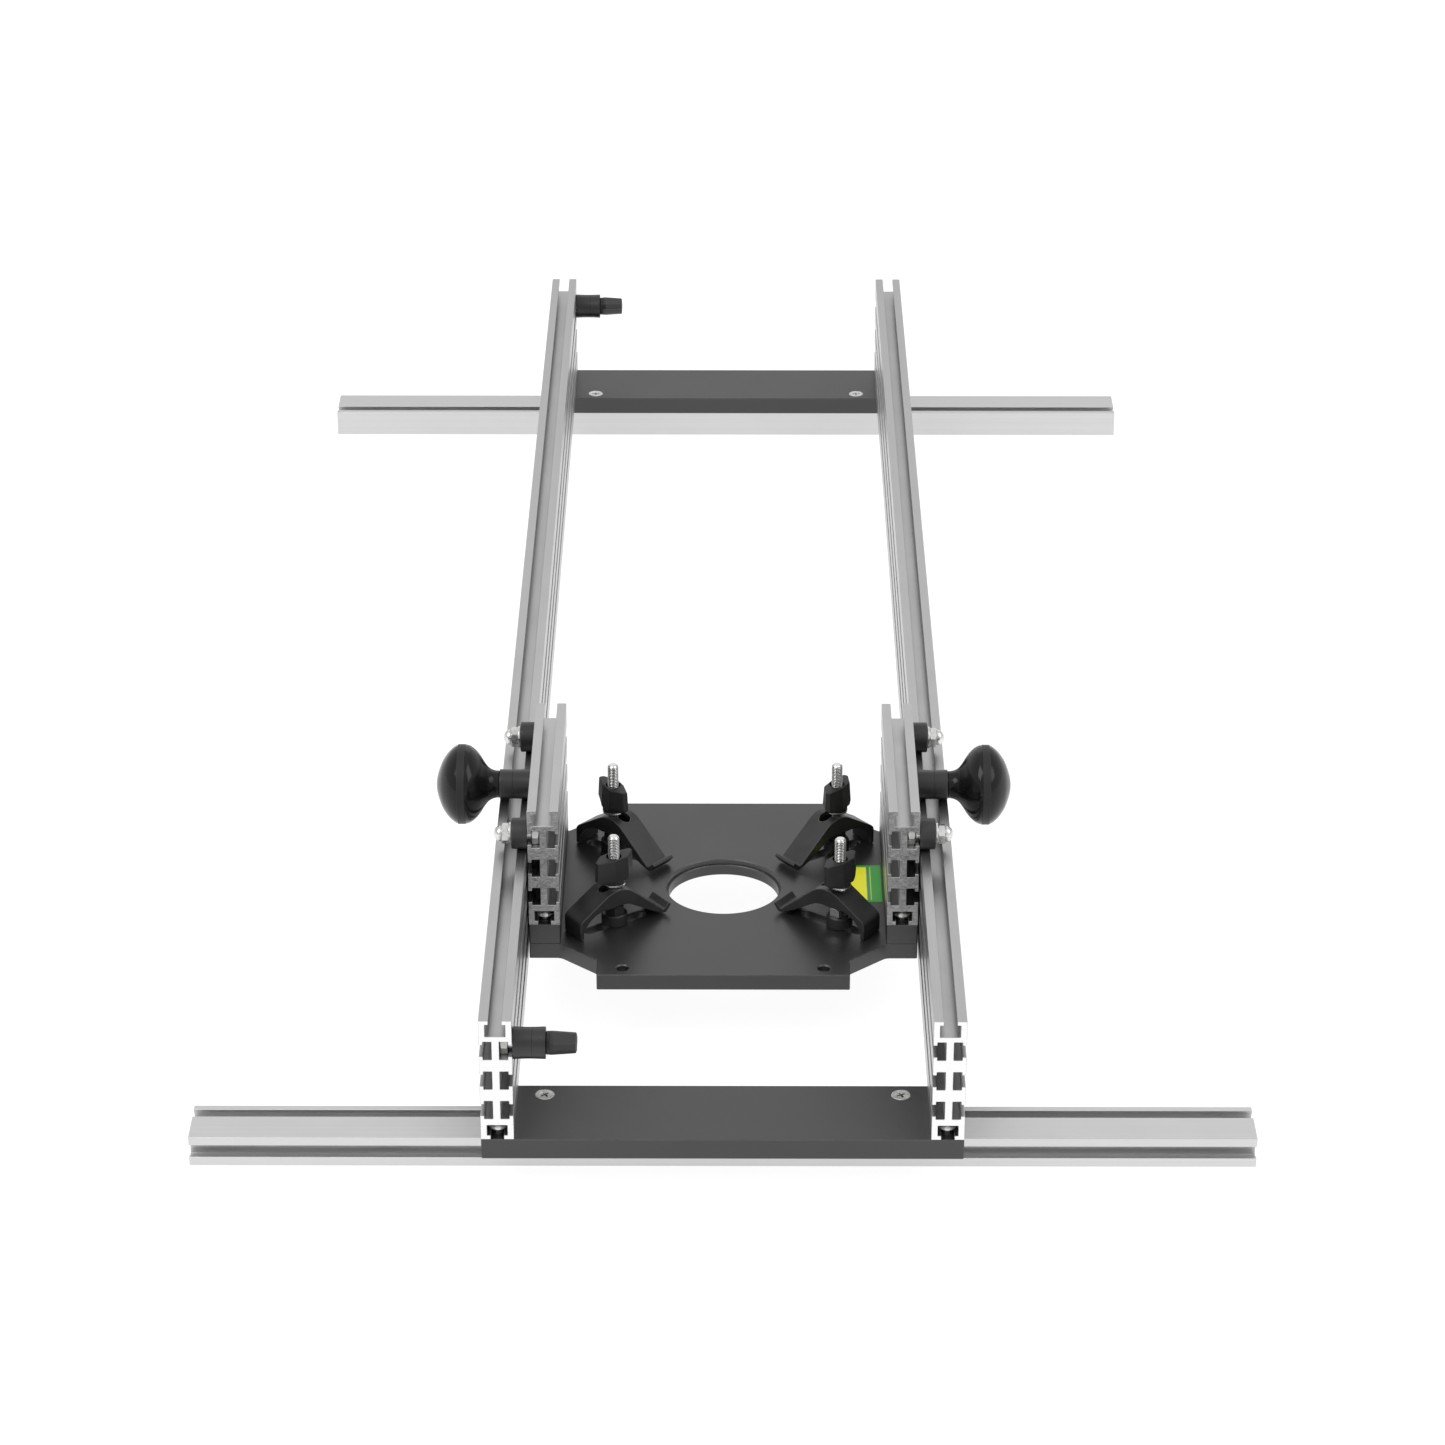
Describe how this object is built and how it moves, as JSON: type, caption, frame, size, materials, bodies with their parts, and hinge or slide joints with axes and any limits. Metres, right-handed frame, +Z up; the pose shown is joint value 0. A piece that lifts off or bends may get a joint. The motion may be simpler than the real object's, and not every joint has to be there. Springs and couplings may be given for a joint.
{
  "type": "router table sled",
  "caption": "Router flattening table: a rolling router carriage with hold-down clamps and handles on two T-slot rails with cross rails and sliding end stops.",
  "frame": {"origin": "centre of the footprint, on the floor under the cross rails", "axes": "+X right, +Y along the long rails to the rear, +Z up"},
  "size_m": [0.715, 1.3822, 0.1666],
  "materials": {
    "rail_aluminium": "satin anodised extrusion",
    "cross_rail_aluminium": "pale satin anodised extrusion",
    "black_plate": "black anodised, soft sheen",
    "bright_steel": "bright zinc plated",
    "black_steel": "satin black coated steel",
    "gloss_black": "polished black plastic with a matte band",
    "satin_black": "satin black plastic",
    "textured_black": "finely textured black plastic",
    "label_green": "printed film, green with a yellow field, no text"
  },
  "bodies": {
    "frame": {"rail_left": "rail_aluminium", "rail_right": "rail_aluminium", "cross_rail_front": "cross_rail_aluminium", "cross_rail_rear": "cross_rail_aluminium", "cross_plate_front": "black_plate", "cross_plate_rear": "black_plate", "cross_plate_screws": "bright_steel", "cross_plate_slot_nuts": "bright_steel", "rail_bolts": "bright_steel"},
    "carriage": {"router_plate": "black_plate", "spacer_left": "black_plate", "spacer_right": "black_plate", "short_rail_left": "rail_aluminium", "short_rail_right": "rail_aluminium", "carriage_bolts": "bright_steel", "plate_label": "label_green", "handle_sleeves": "satin_black", "handle_knob_left": "gloss_black", "handle_knob_right": "gloss_black", "handle_bolts": "bright_steel", "roller_bolts": "bright_steel", "roller_bushes": "bright_steel", "roller_washers": "bright_steel", "roller_dome_nuts": "bright_steel"},
    "roller_front_left": {"roller_front_left": "satin_black"},
    "roller_front_right": {"roller_front_right": "satin_black"},
    "roller_rear_left": {"roller_rear_left": "satin_black"},
    "roller_rear_right": {"roller_rear_right": "satin_black"},
    "clamp_front_left_post": {"clamp_front_left_stud": "bright_steel", "clamp_front_left_collar": "satin_black", "clamp_front_left_base_nut": "black_steel"},
    "clamp_front_left_arm": {"clamp_front_left_arm": "black_steel"},
    "clamp_front_left_washer": {"clamp_front_left_washer": "bright_steel"},
    "clamp_front_left_wing_nut": {"clamp_front_left_wing_nut": "textured_black"},
    "clamp_front_right_post": {"clamp_front_right_stud": "bright_steel", "clamp_front_right_collar": "satin_black", "clamp_front_right_base_nut": "bright_steel"},
    "clamp_front_right_arm": {"clamp_front_right_arm": "black_steel"},
    "clamp_front_right_washer": {"clamp_front_right_washer": "bright_steel"},
    "clamp_front_right_wing_nut": {"clamp_front_right_wing_nut": "textured_black"},
    "clamp_rear_left_post": {"clamp_rear_left_stud": "bright_steel", "clamp_rear_left_collar": "satin_black", "clamp_rear_left_base_nut": "black_steel"},
    "clamp_rear_left_arm": {"clamp_rear_left_arm": "black_steel"},
    "clamp_rear_left_washer": {"clamp_rear_left_washer": "bright_steel"},
    "clamp_rear_left_wing_nut": {"clamp_rear_left_wing_nut": "textured_black"},
    "clamp_rear_right_post": {"clamp_rear_right_stud": "bright_steel", "clamp_rear_right_collar": "satin_black", "clamp_rear_right_base_nut": "black_steel"},
    "clamp_rear_right_arm": {"clamp_rear_right_arm": "black_steel"},
    "clamp_rear_right_washer": {"clamp_rear_right_washer": "bright_steel"},
    "clamp_rear_right_wing_nut": {"clamp_rear_right_wing_nut": "textured_black"},
    "stop_front_bolt": {"stop_front_bolt": "bright_steel"},
    "stop_front_sleeve": {"stop_front_sleeve": "satin_black"},
    "stop_front_knob": {"stop_front_knob": "textured_black"},
    "stop_rear_bolt": {"stop_rear_bolt": "bright_steel"},
    "stop_rear_sleeve": {"stop_rear_sleeve": "satin_black"},
    "stop_rear_knob": {"stop_rear_knob": "textured_black"}
  },
  "joints": [
    {"name": "carriage_slide", "type": "slide", "parent": "frame", "child": "carriage", "axis": [0, 1, 0], "range_m": [-0.2115, 0.9415]},
    {"name": "roller_front_left_spin", "type": "hinge", "parent": "carriage", "child": "roller_front_left", "pos_m": [-0.1428, -0.441, 0.138], "axis": [1, 0, 0], "continuous": true},
    {"name": "roller_front_right_spin", "type": "hinge", "parent": "carriage", "child": "roller_front_right", "pos_m": [0.1428, -0.441, 0.138], "axis": [1, 0, 0], "continuous": true},
    {"name": "roller_rear_left_spin", "type": "hinge", "parent": "carriage", "child": "roller_rear_left", "pos_m": [-0.1428, -0.289, 0.138], "axis": [1, 0, 0], "continuous": true},
    {"name": "roller_rear_right_spin", "type": "hinge", "parent": "carriage", "child": "roller_rear_right", "pos_m": [0.1428, -0.289, 0.138], "axis": [1, 0, 0], "continuous": true},
    {"name": "clamp_front_left_slide", "type": "slide", "parent": "carriage", "child": "clamp_front_left_post", "axis": [0.8173, 0.5763, 0], "range_m": [-0.002, 0.021]},
    {"name": "clamp_front_left_swivel", "type": "hinge", "parent": "clamp_front_left_post", "child": "clamp_front_left_arm", "pos_m": [-0.07759, -0.41971, 0.07], "axis": [0, 0, 1], "range_deg": [-75, 75]},
    {"name": "clamp_front_left_washer_lift", "type": "slide", "parent": "clamp_front_left_arm", "child": "clamp_front_left_washer", "axis": [0, 0, 1], "range_m": [0, 0.015]},
    {"name": "clamp_front_left_wing_nut_turn", "type": "hinge", "parent": "clamp_front_left_washer", "child": "clamp_front_left_wing_nut", "pos_m": [-0.07759, -0.41971, 0.0978], "axis": [0, 0, 1], "range_deg": [0, 4320]},
    {"name": "clamp_front_right_slide", "type": "slide", "parent": "carriage", "child": "clamp_front_right_post", "axis": [-0.8173, 0.5763, 0], "range_m": [-0.004, 0.027]},
    {"name": "clamp_front_right_swivel", "type": "hinge", "parent": "clamp_front_right_post", "child": "clamp_front_right_arm", "pos_m": [0.08249, -0.42317, 0.07], "axis": [0, 0, 1], "range_deg": [-75, 75]},
    {"name": "clamp_front_right_washer_lift", "type": "slide", "parent": "clamp_front_right_arm", "child": "clamp_front_right_washer", "axis": [0, 0, 1], "range_m": [0, 0.015]},
    {"name": "clamp_front_right_wing_nut_turn", "type": "hinge", "parent": "clamp_front_right_washer", "child": "clamp_front_right_wing_nut", "pos_m": [0.08249, -0.42317, 0.0978], "axis": [0, 0, 1], "range_deg": [0, 4320]},
    {"name": "clamp_rear_left_slide", "type": "slide", "parent": "carriage", "child": "clamp_rear_left_post", "axis": [0.8173, -0.5763, 0], "range_m": [-0.0055, 0.0248]},
    {"name": "clamp_rear_left_swivel", "type": "hinge", "parent": "clamp_rear_left_post", "child": "clamp_rear_left_arm", "pos_m": [-0.0807, -0.3081, 0.07], "axis": [0, 0, 1], "range_deg": [-69, 81]},
    {"name": "clamp_rear_left_washer_lift", "type": "slide", "parent": "clamp_rear_left_arm", "child": "clamp_rear_left_washer", "axis": [0, 0, 1], "range_m": [0, 0.015]},
    {"name": "clamp_rear_left_wing_nut_turn", "type": "hinge", "parent": "clamp_rear_left_washer", "child": "clamp_rear_left_wing_nut", "pos_m": [-0.0807, -0.3081, 0.0978], "axis": [0, 0, 1], "range_deg": [0, 4320]},
    {"name": "clamp_rear_right_slide", "type": "slide", "parent": "carriage", "child": "clamp_rear_right_post", "axis": [-0.8173, -0.5763, 0], "range_m": [-0.004, 0.027]},
    {"name": "clamp_rear_right_swivel", "type": "hinge", "parent": "clamp_rear_right_post", "child": "clamp_rear_right_arm", "pos_m": [0.08249, -0.30683, 0.07], "axis": [0, 0, 1], "range_deg": [-79, 71]},
    {"name": "clamp_rear_right_washer_lift", "type": "slide", "parent": "clamp_rear_right_arm", "child": "clamp_rear_right_washer", "axis": [0, 0, 1], "range_m": [0, 0.015]},
    {"name": "clamp_rear_right_wing_nut_turn", "type": "hinge", "parent": "clamp_rear_right_washer", "child": "clamp_rear_right_wing_nut", "pos_m": [0.08249, -0.30683, 0.0978], "axis": [0, 0, 1], "range_deg": [0, 4320]},
    {"name": "stop_front_slide", "type": "slide", "parent": "frame", "child": "stop_front_bolt", "axis": [0, 1, 0], "range_m": [0, 0.2]},
    {"name": "stop_front_sleeve_release", "type": "slide", "parent": "stop_front_bolt", "child": "stop_front_sleeve", "axis": [1, 0, 0], "range_m": [0, 0.005]},
    {"name": "stop_front_knob_turn", "type": "hinge", "parent": "stop_front_sleeve", "child": "stop_front_knob", "pos_m": [-0.104, -0.674, 0.1045], "axis": [1, 0, 0], "range_deg": [0, 1440]},
    {"name": "stop_rear_slide", "type": "slide", "parent": "frame", "child": "stop_rear_bolt", "axis": [0, 1, 0], "range_m": [-0.9, 0]},
    {"name": "stop_rear_sleeve_release", "type": "slide", "parent": "stop_rear_bolt", "child": "stop_rear_sleeve", "axis": [1, 0, 0], "range_m": [0, 0.005]},
    {"name": "stop_rear_knob_turn", "type": "hinge", "parent": "stop_rear_sleeve", "child": "stop_rear_knob", "pos_m": [-0.104, 0.674, 0.1045], "axis": [1, 0, 0], "range_deg": [0, 1440]}
  ],
  "couplings": [
    {"joint": "roller_front_left_spin", "follows": "carriage_slide", "rad_per_m": -91.324},
    {"joint": "roller_front_right_spin", "follows": "carriage_slide", "rad_per_m": -91.324},
    {"joint": "roller_rear_left_spin", "follows": "carriage_slide", "rad_per_m": -91.324},
    {"joint": "roller_rear_right_spin", "follows": "carriage_slide", "rad_per_m": -91.324},
    {"joint": "clamp_front_left_washer_lift", "follows": "clamp_front_left_wing_nut_turn", "m_per_rad": 0.00019894},
    {"joint": "clamp_front_right_washer_lift", "follows": "clamp_front_right_wing_nut_turn", "m_per_rad": 0.00019894},
    {"joint": "clamp_rear_left_washer_lift", "follows": "clamp_rear_left_wing_nut_turn", "m_per_rad": 0.00019894},
    {"joint": "clamp_rear_right_washer_lift", "follows": "clamp_rear_right_wing_nut_turn", "m_per_rad": 0.00019894},
    {"joint": "stop_front_sleeve_release", "follows": "stop_front_knob_turn", "m_per_rad": 0.00019894},
    {"joint": "stop_rear_sleeve_release", "follows": "stop_rear_knob_turn", "m_per_rad": 0.00019894}
  ]
}
